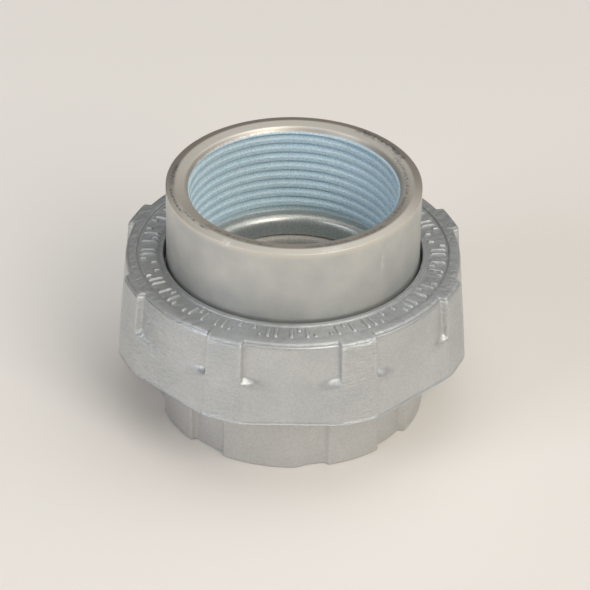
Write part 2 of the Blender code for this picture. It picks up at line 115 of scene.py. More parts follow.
def mesh_object(name, points, quads):
    """A smooth-shaded object from arrays of points and of quads."""
    mesh = bpy.data.meshes.new(name)
    mesh.vertices.add(len(points))
    mesh.vertices.foreach_set("co", points.astype(np.float32).ravel())
    mesh.loops.add(quads.size)
    mesh.loops.foreach_set("vertex_index", quads.astype(np.int32).ravel())
    mesh.polygons.add(len(quads))
    mesh.polygons.foreach_set("loop_start", np.arange(0, quads.size, 4, dtype=np.int32))
    mesh.update(calc_edges=True)
    mesh.validate()
    mesh.shade_smooth()
    piece = bpy.data.objects.new(name, mesh)
    bpy.context.scene.collection.objects.link(piece)
    print(f"{name}: {2 * len(quads)} triangles")
    return piece


def ring_points(radius, height, azimuth):
    """Points (R sin a, -R cos a, z) in metres, for R and z in millimetres and a counted from -Y."""
    x = radius * np.sin(azimuth)
    y = -radius * np.cos(azimuth)
    return np.stack(np.broadcast_arrays(x, y, height), axis=-1).reshape(-1, 3) * MM


def set_share(piece, name, share):
    """A number from 0 to 1 at each point of a piece, which a finish can read by its name."""
    attribute = piece.data.attributes.new(name, "FLOAT", "POINT")
    attribute.data.foreach_set("value", np.clip(share, 0, 1).astype(np.float32).ravel())


def bell(value, middle, width):
    """1 at the middle, and down to 1/e at a width from it."""
    return np.exp(-(((value - middle) / width) ** 2))


# %% Outlines with rounded corners
CORNER_POINTS = 6
FINE_STEPS = 36000


def rounded_path(corners, closed=True):
    """Points (radius, height) along a path of straight runs with rounded corners.

    A corner is (radius, height, fillet, step). The fillet is how far the rounding reaches along both
    runs, and the rounding is a parabola between those two points. The step is the spacing of the points
    on the run that follows.
    """
    corners = np.array(corners, float)
    places = corners[:, :2]
    before = np.roll(places, 1, axis=0)
    after = np.roll(places, -1, axis=0)
    if not closed:
        before[0] = places[0]
        after[-1] = places[-1]
    points = []
    for index, (place, (fillet, step)) in enumerate(zip(places, corners[:, 2:])):
        start = place + fillet * unit(before[index] - place)
        end = place + fillet * unit(after[index] - place)
        share = np.linspace(0, 1, CORNER_POINTS if fillet else 1)[:, None]
        points.append((1 - share) ** 2 * start + 2 * share * (1 - share) * place + share**2 * end)
        following = corners[(index + 1) % len(corners)]
        run_end = following[:2] + following[2] * unit(place - following[:2])
        count = int(np.linalg.norm(run_end - end) / step)
        inner = np.arange(1, count)[:, None] / max(count, 1)
        if closed or index < len(corners) - 1:
            points.append(end + inner * (run_end - end))
    return np.concatenate(points)


def unit(vector):
    """The vector's direction, or zero where it has no length."""
    length = np.linalg.norm(vector)
    return vector / length if length else vector


def crowded_azimuths(count, crowding):
    """Azimuths in radians once round, closer together where the crowding, given in degrees, is high."""
    fine = np.linspace(0, 360, FINE_STEPS + 1)
    density = 1 + crowding(fine)
    total = np.concatenate([[0], np.cumsum(0.5 * (density[1:] + density[:-1]))])
    return np.radians(np.interp(np.arange(count) / count * total[-1], total, fine))


def smoothstep(value):
    """0 below 0, 1 above 1, and 3v^2 - 2v^3 between."""
    value = np.clip(value, 0, 1)
    return value * value * (3 - 2 * value)


def from_nearest(degrees, middle, period):
    """Signed angle in degrees from the nearest of the places middle, middle + period and so on."""
    return (degrees - middle + 0.5 * period) % period - 0.5 * period


# %% [markdown]
# ## Threads
#
# A right-hand thread climbs one pitch in each turn, counter-clockwise from above. So the distance from
# the middle of the nearest crest depends only on height minus pitch times turn. The flanks stand at
# about 30 degrees to the radius and ease a little into the flat crests and roots. The straight thread
# of the hub and nut has 12 turns to the inch. The conduit's own taper thread has 11.5, and its crests
# are broad, as if it wasn't cut to its full depth.

# %% Thread forms
NUT_PITCH = 25.4 / 12
CONDUIT_PITCH = 25.4 / 11.5
FLANK = math.tan(math.radians(30))
EASED_SHARE = 0.4


def from_crest(height, azimuth, pitch, phase_height):
    """Distance in height from the middle of the nearest crest, from 0 to half the pitch."""
    turns = (height - phase_height) / pitch - azimuth / (2 * np.pi)
    return np.abs(turns - np.round(turns)) * pitch


def thread_rise(height, azimuth, pitch, phase_height, depth, crest_width):
    """How far a thread stands above its root: the depth on the crest, then down the flanks to zero.

    A flank is a straight line mixed with a smooth step, by the eased share.
    """
    away = from_crest(height, azimuth, pitch, phase_height)
    share = np.clip(1 - (away - 0.5 * crest_width) / (FLANK * depth), 0, 1)
    return depth * ((1 - EASED_SHARE) * share + EASED_SHARE * smoothstep(share))


print(f"pitch of the nut {NUT_PITCH:.3f} mm, of the conduit {CONDUIT_PITCH:.3f} mm")


# %% [markdown]
# ## Upper hub
#
# The collar of the upper hub is turned smooth. Its rim has two slopes, a wide one outward and a wider one
# inward, as if an abrasive wheel had broken both edges. Inside are a lead-in cone, the taper thread, an
# undercut where the tap ran out, and a rounded shoulder, which keeps the wires' insulation off a sharp
# edge. The outline below walks round the section once: up the outside, over the rim and down the bore.

# %% Upper hub's outline
RIM_RADIUS = 27.08
RIM_CREST = 25.3
OUTER_DROP = 0.36
RIM_INNER = 23.15
INNER_DROP = 0.25
CREST_RADIUS = 22.1
SOCKET_LEAD = 1.5
SOCKET_DEPTH = 19.35
UNDERCUT_RADIUS = 22.6
UNDERCUT_RAMP = 0.6
UNDERCUT_LENGTH = 1.9
SHOULDER_DEPTH = SOCKET_DEPTH + UNDERCUT_LENGTH
SHOULDER_ROUND = 2.4
GROUND_DEPTH = 1.1
CONDUIT_DEPTH = 0.95
CONDUIT_CREST = 0.95
CONDUIT_TAPER = 1 / 32
SOCKET_END_RADIUS = CREST_RADIUS - CONDUIT_TAPER * (SOCKET_DEPTH - SOCKET_LEAD)

outer_corner = (RIM_RADIUS, RIM_TOP - OUTER_DROP - 0.15, 0.0, 1.0)
lead_corner = (RIM_INNER - 0.35, RIM_TOP - INNER_DROP - 0.42, 0.0, 0.14)
outside = rounded_path(
    [
        (UPPER_THROAT, UPPER_FOOT, 0.3, 1.0),
        (SEAT_INNER, UPPER_FOOT, 0.2, 0.5),
        (SEAT_INNER + SEAT_RISE, UPPER_FOOT + SEAT_RISE, 0.2, 0.8),
        (FLANGE_RADIUS, UPPER_FOOT + SEAT_RISE, 0.4, 0.5),
        (FLANGE_RADIUS, FLANGE_TOP, 0.4, 0.8),
        (COLLAR_RADIUS, FLANGE_TOP, 0.25, 1.3),
        outer_corner,
    ],
    closed=False,
)
rim = rounded_path(
    [
        outer_corner,
        (RIM_RADIUS, RIM_TOP - OUTER_DROP, 0.14, 0.14),
        (RIM_CREST, RIM_TOP, 0.3, 0.14),
        (RIM_INNER, RIM_TOP - INNER_DROP, 0.12, 0.14),
        lead_corner,
    ],
    closed=False,
)[1:]
bore = rounded_path(
    [
        lead_corner,
        (CREST_RADIUS, RIM_TOP - SOCKET_LEAD, 0.0, 0.15),
        (SOCKET_END_RADIUS, RIM_TOP - SOCKET_DEPTH, 0.15, 0.16),
        (UNDERCUT_RADIUS, RIM_TOP - SOCKET_DEPTH - UNDERCUT_RAMP, 0.1, 0.2),
        (UNDERCUT_RADIUS, RIM_TOP - SHOULDER_DEPTH, 0.15, 0.2),
        (UPPER_THROAT, RIM_TOP - SHOULDER_DEPTH, SHOULDER_ROUND, 0.4),
        (UPPER_THROAT, UPPER_FOOT + 0.4, 0.0, 0.4),
    ],
    closed=False,
)[1:]
upper_outline = np.concatenate([outside, rim, bore])
upper_rows = len(upper_outline)
bore_start = len(outside) + len(rim)
print("upper hub's outline has", upper_rows, "points")

# %% Upper hub's mesh
UPPER_COLUMNS = 374
GROOVE_START = 0.9
GROOVE_FADE_IN = 1.2
GROOVE_FADE_OUT = 0.9


def socket_groove(height, azimuth, mouth):
    """How deep a socket's thread is cut below its crests, fading out towards the mouth and the end."""
    depth = np.abs(height - mouth)
    fade_in = smoothstep((depth - GROOVE_START) / GROOVE_FADE_IN)
    fade_out = smoothstep((SOCKET_DEPTH - depth) / GROOVE_FADE_OUT)
    rise = thread_rise(height, azimuth, CONDUIT_PITCH, mouth, CONDUIT_DEPTH, CONDUIT_CREST)
    return (CONDUIT_DEPTH - rise) * fade_in * fade_out


azimuth = np.linspace(0, 2 * np.pi, UPPER_COLUMNS, endpoint=False)
radius = np.repeat(upper_outline[:, :1], len(azimuth), axis=1)
height = np.repeat(upper_outline[:, 1:], len(azimuth), axis=1)
in_bore = np.arange(upper_rows)[:, None] >= bore_start
radius = radius + np.where(in_bore, socket_groove(height, azimuth, RIM_TOP), 0)
upper_hub = mesh_object("upper_hub_skin", ring_points(radius, height, azimuth), grid_faces(*radius.shape))

# %% [markdown]
# ## Wear and painted light on the collar
#
# In use and in the shop the rim is what gets knocked. It is ground to bare metal and has dark scuffs and
# a few bright nicks. It is brown outside at the back and inside at the front, which is painted shade of
# the slopes that face away from the light. Some of the dark arcs are painted shade as well, and some of
# the bright ones are painted highlights. The photograph shows where each lies, so each is an arc with a
# start, an end and a radius. They are kept as numbers at the points of the mesh, which the finish reads.
# An image painted by hand would do the same, but could not be read here.

# %% Wear and painted light as numbers on the mesh
# Dark arcs. The wide one at the right back is a scuff, and the two thin ones at the front left are dark
# lines at the outer edge. The arc on the left at 25.6 mm and the arcs inside at the front and on the right
# are painted shade, where the slopes face away from the light.
SCUFFS_AND_SHADE = (
    {"start": -108, "end": -84, "radius": 25.6, "width": 0.5, "share": 0.7},
    {"start": -86, "end": -62, "radius": 26.1, "width": 0.2, "share": 1.0},
    {"start": -66, "end": -42, "radius": 25.6, "width": 0.2, "share": 1.0},
    {"start": -50, "end": -8, "radius": 24.4, "width": 0.5, "share": 0.5},
    {"start": 4, "end": 52, "radius": 24.6, "width": 0.5, "share": 0.5},
    {"start": 52, "end": 118, "radius": 23.8, "width": 0.5, "share": 0.6},
    {"start": 112, "end": 150, "radius": 25.4, "width": 0.8, "share": 0.8},
)
# Bright arcs. The one at the front left is a nick. The one at the front right is a painted highlight, and
# so is the thin line on the inner edge at the back left, where the lead-in meets the thread.
NICKS_AND_HIGHLIGHTS = (
    {"start": -35, "end": -27, "radius": 26.6, "width": 0.6, "share": 1.0},
    {"start": 11, "end": 24, "radius": 26.4, "width": 0.5, "share": 0.6},
    {"start": -172, "end": -108, "radius": 22.45, "width": 0.15, "share": 1.0},
)
SCRATCH_AZIMUTH = 43.7
SCRATCH_MIDDLE = 46.3
SCRATCH_LENGTH = 3.4
SPOT_END = 4
WORN_DEPTH = 1.3
BACK_START = 55
BACK_SPREAD = 50
OUTER_BROWN_SHADE = 0.8
INNER_BROWN_SHADE = 0.5


def signed_degrees(azimuth):
    """An azimuth in degrees from -180 to 180, with 0 at the front and 90 at the right."""
    return from_nearest(np.degrees(azimuth), 0, 360)


def patches(spots):
    """Where the rim has the spots, given in degrees and millimetres.

    Each is an arc of the rim at one radius, with a bell across it and soft ends.
    """
    share = 0 * radius
    for spot in spots:
        begun = smoothstep((degrees - spot["start"]) / SPOT_END)
        lasting = smoothstep((spot["end"] - degrees) / SPOT_END)
        share = share + spot["share"] * begun * lasting * bell(radius, spot["radius"], spot["width"])
    return share * on_rim


degrees = signed_degrees(azimuth)
outside_bore = upper_outline[:, :1] > CREST_RADIUS + 0.2
on_rim = smoothstep((height - RIM_TOP + WORN_DEPTH) / 0.3) * outside_bore
outer_slope = smoothstep((radius - RIM_CREST + 0.3) / 0.6)
lead_in = smoothstep((RIM_INNER - 0.1 - radius) / 0.3)
to_back = smoothstep((np.abs(degrees) - BACK_START) / BACK_SPREAD)
# Brown painted shade on the outer slope at the back and on the inner slope at the front, which face away
# from the light; the lead-in is brown all round.
outer_brown_shade = OUTER_BROWN_SHADE * outer_slope * to_back
inner_brown_shade = INNER_BROWN_SHADE * (1 - outer_slope) * np.maximum(1 - to_back, lead_in)
scratch = bell(degrees, SCRATCH_AZIMUTH, 0.6) * (np.abs(height - SCRATCH_MIDDLE) < 0.5 * SCRATCH_LENGTH)
set_share(upper_hub, "bare", on_rim)
set_share(upper_hub, "brown", on_rim * (outer_brown_shade + inner_brown_shade))
set_share(upper_hub, "scuffed_and_shaded", patches(SCUFFS_AND_SHADE))
set_share(upper_hub, "nicked_and_highlit", patches(NICKS_AND_HIGHLIGHTS) + 0.5 * scratch * (radius > COLLAR_RADIUS - 0.5))
print("wear is marked on", upper_hub.name)

# %% [markdown]
# ## Ring nut
#
# The nut is cast with eight flats for a wrench and a narrow rib between each two. Near the top the flats
# are cut back to a cone, which leaves pockets with a small sloping ledge below. Seen from above, its
# outline is a rounded polygon: for faces at distances d_k in directions a_k, the sum of
# (cos(a - a_k) / (d_k / R)) to a high power is one. A high power gives a sharp corner, and a lower power
# a rounder one, so one formula makes the faces and their soft cast edges together.

# %% Nut's outer form
FLAT_BOTTOM = nut_high.y / MM
FLAT_TOP = 35.546
EIGHTH = 45
FLAT_HALF_ANGLE = 16.5
RIB_HALF_ANGLE = 0.5 * EIGHTH - FLAT_HALF_ANGLE
RIB_DISTANCE = math.cos(math.radians(RIB_HALF_ANGLE)) / math.cos(math.radians(FLAT_HALF_ANGLE))
CORNER_POWER = 150
POCKET_SIDE = 16.15
POCKET_SIDE_WIDTH = 0.8
LEDGE_TOP = 28.1
LEDGE_SLOPE = 1.15
LEDGE_FADE = 5.0
NUT_EDGE = 0.7
NUT_LOWER_EDGE = 0.08


def from_flat(azimuth):
    """Angle in degrees from the middle of the nearest flat, from -22.5 to 22.5."""
    return from_nearest(np.degrees(azimuth), 0, EIGHTH)


def nut_radius(azimuth, height):
    """Outer radius of the nut: a rounded polygon below the ledge, with pockets cut to a cone above it."""
    share = (height - NUT_BOTTOM) / (NUT_TOP - NUT_BOTTOM)
    flat = FLAT_BOTTOM + share * (FLAT_TOP - FLAT_BOTTOM)
    angle = from_flat(azimuth)
    to_flat = np.cos(np.radians(angle)) ** CORNER_POWER
    to_rib = (np.cos(np.radians(0.5 * EIGHTH - np.abs(angle))) / RIB_DISTANCE) ** CORNER_POWER
    polygon = flat * (to_flat + to_rib) ** (-1 / CORNER_POWER)
    beside_rib = smoothstep((POCKET_SIDE + 0.5 * POCKET_SIDE_WIDTH - np.abs(angle)) / POCKET_SIDE_WIDTH)
    slope = LEDGE_SLOPE + LEDGE_FADE * np.clip(1 - np.abs(angle) / POCKET_SIDE, 0, 1)
    above_ledge = smoothstep((height - LEDGE_TOP + slope) / slope)
    return polygon + (np.minimum(flat, polygon) - polygon) * beside_rib * above_ledge


def rib_sides(degrees):
    """Crowding of columns where the sides of the ribs are steep."""
    return 4 * bell(np.abs(from_flat(np.radians(degrees))), FLAT_HALF_ANGLE - 0.2, 1.1)


# %% Nut's outline
BAND_INNER = 28.5
BAND_OUTER = 33.3
BAND_DEPTH = 0.35
NUT_HOLE = 27.6
LIP_UNDERSIDE = FLANGE_TOP + FACE_GAP
NUT_CREST = 30.15
NUT_RELIEF = 31.6
RELIEF_END = LIP_UNDERSIDE - 2.4
MOUTH_CHAMFER = 1.6
FOOT_INNER = 34.15

side_heights = np.concatenate(
    [
        np.linspace(NUT_BOTTOM + NUT_LOWER_EDGE, LEDGE_TOP - LEDGE_SLOPE - 0.1, 12),
        np.linspace(LEDGE_TOP - LEDGE_SLOPE, LEDGE_TOP, 12),
        np.linspace(LEDGE_TOP + 0.1, NUT_TOP - NUT_EDGE, 10),
    ]
)
turn = np.linspace(0, 0.5 * np.pi, 7)
side_inset = np.concatenate(
    [NUT_LOWER_EDGE * (1 - np.sin(turn)), 0 * side_heights, NUT_EDGE * (1 - np.cos(turn))]
)
side_height = np.concatenate(
    [
        NUT_BOTTOM + NUT_LOWER_EDGE * (1 - np.cos(turn)),
        side_heights,
        NUT_TOP - NUT_EDGE * (1 - np.sin(turn)),
    ]
)
inner_path = rounded_path(
    [
        (BAND_OUTER + 0.4, NUT_TOP, 0.0, 0.2),
        (BAND_OUTER, NUT_TOP, 0.15, 0.2),
        (BAND_OUTER - 0.25, NUT_TOP - BAND_DEPTH, 0.2, 0.5),
        (BAND_INNER + 0.2, NUT_TOP - BAND_DEPTH, 0.2, 0.2),
        (BAND_INNER, NUT_TOP, 0.15, 0.2),
        (NUT_HOLE, NUT_TOP, 0.15, 0.6),
        (NUT_HOLE, LIP_UNDERSIDE, 0.2, 0.6),
        (NUT_RELIEF, LIP_UNDERSIDE, 0.3, 0.5),
        (NUT_RELIEF, RELIEF_END, 0.1, 0.2),
        (NUT_CREST, RELIEF_END - (NUT_RELIEF - NUT_CREST), 0.1, 0.2),
        (NUT_CREST, NUT_BOTTOM + MOUTH_CHAMFER, 0.1, 0.2),
        (NUT_CREST + MOUTH_CHAMFER, NUT_BOTTOM, 0.1, 0.5),
        (FOOT_INNER, NUT_BOTTOM, 0.0, 0.5),
    ],
    closed=False,
)
print("nut's outline has", len(side_height) + len(inner_path), "points")

# %% Nut's mesh
THREAD_PHASE = LIP_UNDERSIDE - FACE_GAP - 10.5 * NUT_PITCH
THREAD_DEPTH = 1.146
HUB_CREST = 0.265
GROOVE_WIDTH = HUB_CREST + 0.3
CREST_CUT = 0.19
NUT_COLUMNS = 480

azimuth = crowded_azimuths(NUT_COLUMNS, rib_sides)
outer = nut_radius(azimuth, side_height[:, None]) - side_inset[:, None]
inner = np.repeat(inner_path[:, :1], len(azimuth), axis=1)
inner_height = inner_path[:, 1:]
# The nut's groove is the hub's thread form, wider by a gap, with its own crests cut off.
sharp_groove = thread_rise(
    inner_height, azimuth, NUT_PITCH, THREAD_PHASE, THREAD_DEPTH + CREST_CUT, GROOVE_WIDTH
)
groove = sharp_groove - CREST_CUT
in_thread = (inner_height < RELIEF_END + 0.4) & (inner_path[:, :1] < NUT_RELIEF)
inner = np.where(in_thread, np.maximum(inner, NUT_CREST + np.maximum(groove, 0)), inner)
radius = np.concatenate([outer, inner])
height = np.repeat(np.concatenate([side_height, inner_path[:, 1]])[:, None], len(azimuth), axis=1)
union_nut = mesh_object("union_nut_skin", ring_points(radius, height, azimuth), grid_faces(*radius.shape))

# %% Where the nut's edges are worn and painted with highlights, where its top is darker, and where its skin is coarse
COARSE_AZIMUTH = -52
COARSE_SPREAD = 20
TOP_COARSE = 0.35
LEFT_COARSE = 0.6
RIB_COARSE = 0.45
TOP_WEAR_AND_HIGHLIGHT = 0.4
RIB_WEAR_AND_HIGHLIGHT = 0.5
LEDGE_HIGHLIGHT = 1.3

side = np.abs(from_flat(azimuth))
on_side = (np.arange(len(height)) < len(side_height))[:, None]
# Lighter edges: the top edge and the rib edges are partly worn by handling and partly painted highlight;
# the ledge corners are painted highlight, where the sloping ledges catch the light.
top_edge = bell(height, NUT_TOP - 0.18, 0.16)
rib_edge = bell(side, FLAT_HALF_ANGLE + 0.4, 0.4) * smoothstep((height - LEDGE_TOP) / 0.5)
ledge_corner = bell(side, FLAT_HALF_ANGLE - 1.5, 1.1) * bell(height, LEDGE_TOP - 0.5, 0.4)
rubbed_and_highlit = TOP_WEAR_AND_HIGHLIGHT * top_edge + RIB_WEAR_AND_HIGHLIGHT * rib_edge + LEDGE_HIGHLIGHT * ledge_corner
set_share(union_nut, "rubbed_and_highlit", on_side * rubbed_and_highlit)

on_top = height > NUT_TOP - 0.6
left_flat = bell(signed_degrees(azimuth), COARSE_AZIMUTH, COARSE_SPREAD)
on_rib = smoothstep((side - FLAT_HALF_ANGLE + 2.5) / 3)
side_coarse = np.maximum(LEFT_COARSE * left_flat, RIB_COARSE * on_rib)
set_share(union_nut, "coarse", np.where(on_top, TOP_COARSE, side_coarse))
# The top is painted a darker grey in patches.
set_share(union_nut, "darker_top", on_top)
print("rubbed edges and coarse skin are marked on", union_nut.name)

# %% [markdown]
# ## Raised marks
#
# The casting has a shallow ring-shaped band on top, where raised marks were cast. Here it holds plain
# bars: long ones, and short ones near either edge. A bar is a pillow: its height falls off from the
# middle as one minus the fourth power of the distance across and the eighth power of the distance along,
# so its edges look cast and not cut. It could be a bevelled box, but then every bar would need its own
# modifier.

# %% Marks' mesh
MARK_PLACES = 120
ALONG_POINTS = 13
ACROSS_POINTS = 9
MARK_WIDTH = 1.0
MARK_RISE = 0.4
MARK_SINK = 0.15
BAND_FLOOR = NUT_TOP - BAND_DEPTH
MARK_INNER = BAND_INNER + 0.5
MARK_OUTER = BAND_OUTER - 0.6
MARK_MIDDLE = 0.5 * (MARK_INNER + MARK_OUTER)
SHORTENED = 0.3


def pillow_bars(starts, ends, turns):
    """Pillow-shaped bars along the radius, as one array of points with a small grid for each bar.

    Along u and across v from -1 to 1, the height is rise * (1 - u^8) * (1 - v^4) above the sink.
    """
    along, across = np.meshgrid(
        np.linspace(-1, 1, ALONG_POINTS), np.linspace(-1, 1, ACROSS_POINTS), indexing="ij"
    )
    rise = (MARK_RISE + MARK_SINK) * (1 - along**8) * (1 - across**4) - MARK_SINK
    distance = 0.5 * (starts + ends)[:, None, None] + 0.5 * (ends - starts)[:, None, None] * along
    sideways = 0.5 * MARK_WIDTH * across * np.ones_like(distance)
    angle = turns[:, None, None]
    x = distance * np.sin(angle) + sideways * np.cos(angle)
    y = -distance * np.cos(angle) + sideways * np.sin(angle)
    z = np.broadcast_to(BAND_FLOOR + rise, x.shape)
    return np.stack([x, y, z], axis=-1).reshape(-1, 3) * MM


LONG, OUTER, INNER, BLANK = range(4)
pattern = np.array(
    [
        (LONG, INNER, LONG, OUTER, BLANK),
        (OUTER, LONG, INNER, LONG, BLANK),
        (LONG, LONG, OUTER, INNER, BLANK),
        (INNER, OUTER, LONG, LONG, BLANK),
    ]
)
kind = np.tile(pattern.ravel(), MARK_PLACES // pattern.size)
turns = np.arange(MARK_PLACES) * 2 * np.pi / MARK_PLACES
starts = np.where(kind == OUTER, MARK_MIDDLE + SHORTENED, MARK_INNER)
ends = np.where(kind == INNER, MARK_MIDDLE - SHORTENED, MARK_OUTER)
shown = kind != BLANK
row, column = np.meshgrid(np.arange(ALONG_POINTS - 1), np.arange(ACROSS_POINTS - 1), indexing="ij")
near = row * ACROSS_POINTS + column
far = near + ACROSS_POINTS
patch = np.stack([near, far, far + 1, near + 1], axis=-1).reshape(1, -1, 4)
bar_start = np.arange(shown.sum())[:, None, None] * ALONG_POINTS * ACROSS_POINTS
mark_quads = (bar_start + patch).reshape(-1, 4)
mark_points = pillow_bars(starts[shown], ends[shown], turns[shown])
nut_marks = mesh_object("nut_marks", mark_points, mark_quads)
mark_height = mark_points[:, 2] / MM - BAND_FLOOR
# The tops of the bars are painted lighter as well, partly worn and partly painted highlight.
set_share(nut_marks, "rubbed_and_highlit", TOP_COARSE * smoothstep((mark_height - 0.2) / 0.15))
set_share(nut_marks, "coarse", np.full(len(mark_points), TOP_COARSE))
# The bars get the same darker grey.
set_share(nut_marks, "darker_top", np.ones(len(mark_points)))
print(shown.sum(), "bars stand on the band")

# %% [markdown]
# ## Lower hub
#
# The lower hub is the mirror of the upper one where the pipe goes in. Outside it has a grip for a pipe
# wrench with shallow cast recesses, four wide and four narrow ones, and above the grip the straight
# thread for the nut. The recesses are one function of azimuth, the depth that they take off the grip.

# %% Lower hub's form
GRIP_TOP = 15.8
RECESSES = (
    {"middle": -39.5, "width": 19.0, "rise_in": 1.5, "rise_out": 1.5, "depth": 1.3},
    {"middle": 9.0, "width": 16.0, "rise_in": 8.0, "rise_out": 1.5, "depth": 1.0},
)
HUB_CORE = 29.25
HUB_ROOT = NUT_CREST - FACE_GAP
THREAD_BOTTOM = NUT_BOTTOM - 0.7
THREAD_TOP = HUB_TOP - 0.3
SEAT_FLOOR = UPPER_FOOT - FACE_GAP
SEAT_TOP_RADIUS = SEAT_INNER + SEAT_RISE + math.sqrt(2) * FACE_GAP
RUNOUT_LENGTH = 1.4
RUNOUT_RISE = 1.8
QUARTER = 90
LOWER_SHOULDER_ROUND = 1.9
RECESS_INNER = 25
SOCKET_OUTER = 23


def recess_depth(azimuth):
    """Depth in millimetres taken off the grip at an azimuth, with soft slopes at a recess's sides."""
    depth = 0 * azimuth
    for recess in RECESSES:
        away = from_nearest(np.degrees(azimuth), recess["middle"], QUARTER)
        inward = smoothstep((0.5 * recess["width"] + away) / recess["rise_in"])
        outward = smoothstep((0.5 * recess["width"] - away) / recess["rise_out"])
        depth = depth + recess["depth"] * inward * outward
    return depth


def recess_edges(degrees):
    """Crowding of columns at the sides of the recesses and where the narrow ones' long slope ends."""
    edges = [RECESSES[1]["middle"]]
    for recess in RECESSES:
        edges += [recess["middle"] - 0.5 * recess["width"], recess["middle"] + 0.5 * recess["width"]]
    return sum(3 * bell(from_nearest(degrees, edge, QUARTER), 0, 1.3) for edge in edges)


# %% Lower hub's outline
lower_outline = rounded_path(
    [
        (GRIP_RADIUS, 0.0, 0.55, 1.1),
        (GRIP_RADIUS, GRIP_TOP, 0.5, 0.4),
        (HUB_CORE, GRIP_TOP + 0.6, 0.1, 0.14),
        (HUB_CORE, THREAD_BOTTOM, 0.0, 0.14),
        (HUB_ROOT, THREAD_BOTTOM + 0.3, 0.0, 0.14),
        (HUB_ROOT, THREAD_TOP - 0.3, 0.0, 0.14),
        (HUB_CORE, THREAD_TOP, 0.0, 0.3),
        (HUB_CORE, HUB_TOP, 0.15, 0.8),
        (SEAT_TOP_RADIUS, HUB_TOP, 0.1, 0.4),
        (SEAT_TOP_RADIUS - HUB_TOP + SEAT_FLOOR, SEAT_FLOOR, 0.1, 0.7),
        (LOWER_THROAT, SEAT_FLOOR, 1.1, 0.6),
        (LOWER_THROAT, SHOULDER_DEPTH, LOWER_SHOULDER_ROUND, 0.5),
        (UNDERCUT_RADIUS, SHOULDER_DEPTH, 0.25, 0.3),
        (UNDERCUT_RADIUS, SOCKET_DEPTH + UNDERCUT_RAMP, 0.1, 0.2),
        (SOCKET_END_RADIUS, SOCKET_DEPTH, 0.15, 0.17),
        (CREST_RADIUS, SOCKET_LEAD, 0.0, 0.17),
        (RIM_INNER, 0.0, 0.12, 0.8),
    ]
)
print("lower hub's outline has", len(lower_outline), "points")

# %% Lower hub's mesh
LOWER_COLUMNS = 310

azimuth = crowded_azimuths(LOWER_COLUMNS, recess_edges)
radius = np.repeat(lower_outline[:, :1], len(azimuth), axis=1)
height = np.repeat(lower_outline[:, 1:], len(azimuth), axis=1)
outline_radius = lower_outline[:, :1]
outline_height = lower_outline[:, 1:]
on_grip = (outline_radius > RECESS_INNER) & (outline_height < GRIP_TOP + 0.3)
radius = radius - np.where(on_grip, recess_depth(azimuth), 0)

rise = thread_rise(height, azimuth, NUT_PITCH, THREAD_PHASE, THREAD_DEPTH, HUB_CREST)
from_bottom = np.clip((height - THREAD_BOTTOM) / RUNOUT_LENGTH, 0, 1)
from_top = np.clip((THREAD_TOP - height) / RUNOUT_LENGTH, 0, 1)
between_ends = (outline_height > THREAD_BOTTOM) & (outline_height < THREAD_TOP)
on_thread = (outline_radius > HUB_CORE - 0.25) & between_ends
radius = radius + np.where(on_thread, np.minimum(rise, RUNOUT_RISE * from_bottom * from_top), 0)

in_socket = (outline_radius < SOCKET_OUTER) & (outline_height < SOCKET_DEPTH + 0.05)
radius = radius + np.where(in_socket, socket_groove(height, azimuth, 0), 0)
lower_hub = mesh_object("lower_hub_skin", ring_points(radius, height, azimuth), grid_faces(*radius.shape))

# %% [markdown]
# ## Colour and nodes
#
# Colours are written as they look on a screen, in sRGB hex, and one function turns them to linear light.
# Another adds a node with its settings and its links. The kinds of node that come up often have a short
# function each, which gives back the node's output, so that a finish reads like a recipe.

# %% A colour, and a node with its links
def linear(hex_colour):
    """Linear RGBA of an sRGB colour such as 8899AA."""
    values = [int(hex_colour[start:start + 2], 16) / 255 for start in (0, 2, 4)]
    shades = [value / 12.92 if value <= 0.04045 else ((value + 0.055) / 1.055) ** 2.4 for value in values]
    return (*shades, 1.0)


def add_node(tree, kind, inputs=None, **settings):
    """A node with its settings. Inputs maps a socket to a value or to another node's output."""
    node = tree.nodes.new(kind)
    for name, value in settings.items():
        setattr(node, name, value)
    for socket, value in (inputs or {}).items():
        if isinstance(value, bpy.types.NodeSocket):
            tree.links.new(value, node.inputs[socket])
        else:
            node.inputs[socket].default_value = value
    return node


# %% A short function for each common kind of node
def noise(tree, place, millimetres, detail, distortion=0.0):
    """A noise from 0 to 1 whose features are about this many millimetres wide."""
    inputs = {"Vector": place, "Scale": per_size(millimetres), "Detail": detail, "Distortion": distortion}
    return add_node(tree, "ShaderNodeTexNoise", inputs).outputs["Fac"]


def per_size(millimetres):
    """Texture scale at which one feature is about this many millimetres wide."""
    return 1 / (millimetres * MM)


def stretched(tree, place, upward):
    """The place with its height multiplied, which flattens a texture's features."""
    node = add_node(tree, "ShaderNodeMapping", {"Vector": place, "Scale": (1.0, 1.0, upward)})
    return node.outputs["Vector"]


def remapped(tree, value, low, high, from_low=0.0, from_high=1.0):
    """The value carried from one range to another, and held at its ends."""
    inputs = {"Value": value, "From Min": from_low, "From Max": from_high, "To Min": low, "To Max": high}
    return add_node(tree, "ShaderNodeMapRange", inputs).outputs["Result"]


def calculated(tree, operation, *values, use_clamp=False):
    """The result of a Math node on values that are numbers or outputs of nodes."""
    inputs = dict(enumerate(values))
    node = add_node(tree, "ShaderNodeMath", inputs, operation=operation, use_clamp=use_clamp)
    return node.outputs["Value"]


def mixed(tree, share, first, second):
    """A mix of two colours: the first at a share of 0, the second at 1."""
    return add_node(tree, "ShaderNodeMix", {0: share, 6: first, 7: second}, data_type="RGBA").outputs[2]


